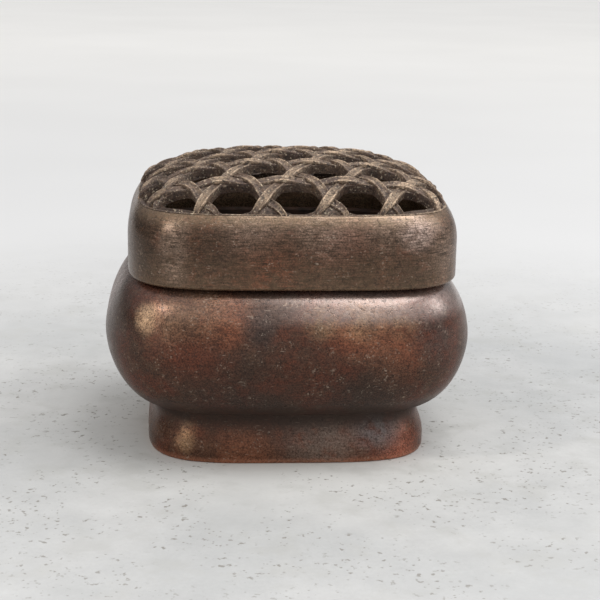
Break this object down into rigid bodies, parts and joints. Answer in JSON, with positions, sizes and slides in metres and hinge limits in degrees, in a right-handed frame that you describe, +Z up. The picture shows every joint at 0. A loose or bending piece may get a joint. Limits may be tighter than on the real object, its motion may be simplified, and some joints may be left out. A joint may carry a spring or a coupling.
{
  "type": "incense burner",
  "caption": "Rounded-square bronze incense burner: bulging bowl on a flared foot, lift-off lid with a domed cane-weave openwork top, and a loose liner holding ash, an ember and incense wood.",
  "frame": {"origin": "on the surface that the foot stands on, under the middle of the bowl", "axes": "+Z up, the front faces -Y, +X is the burner's right as seen from the front"},
  "size_m": [0.0902, 0.0852, 0.0714],
  "materials": {
    "red_bronze": "satin, patinated reddish-brown with worn highlights",
    "foot_bronze": "satin, patinated red-brown, worn orange at the lower edge",
    "inner_bronze": "matte, dark and sooty",
    "lid_bronze": "satin, dark brown with fine level brush marks",
    "lattice_bronze": "satin, worn golden on its ridges and dusty in its recesses",
    "liner_copper": "satin, heat-stained copper",
    "ash": "matte powder",
    "charcoal": "matte, with grey ash on its edges",
    "incense_wood": "matte, raw split wood"
  },
  "bodies": {
    "vessel": {"body_shell": "red_bronze", "foot_ring": "foot_bronze", "rim_collar": "inner_bronze"},
    "lid": {"lid_band": "lid_bronze", "lid_lattice": "lattice_bronze"},
    "liner": {"ash_liner": "liner_copper", "ash_bed": "ash", "charcoal_tablet": "charcoal", "incense_chip_1": "incense_wood", "incense_chip_2": "incense_wood", "incense_chip_3": "incense_wood"}
  },
  "joints": [
    {"name": "lid_lift", "type": "slide", "parent": "vessel", "child": "lid", "axis": [0, 0, 1], "range_m": [0, 0.12]},
    {"name": "liner_lift", "type": "slide", "parent": "vessel", "child": "liner", "axis": [0, 0, 1], "range_m": [0, 0.06]}
  ],
  "couplings": [
    {"joint": "liner_lift", "follows": "lid_lift", "ratio": 0.5}
  ]
}
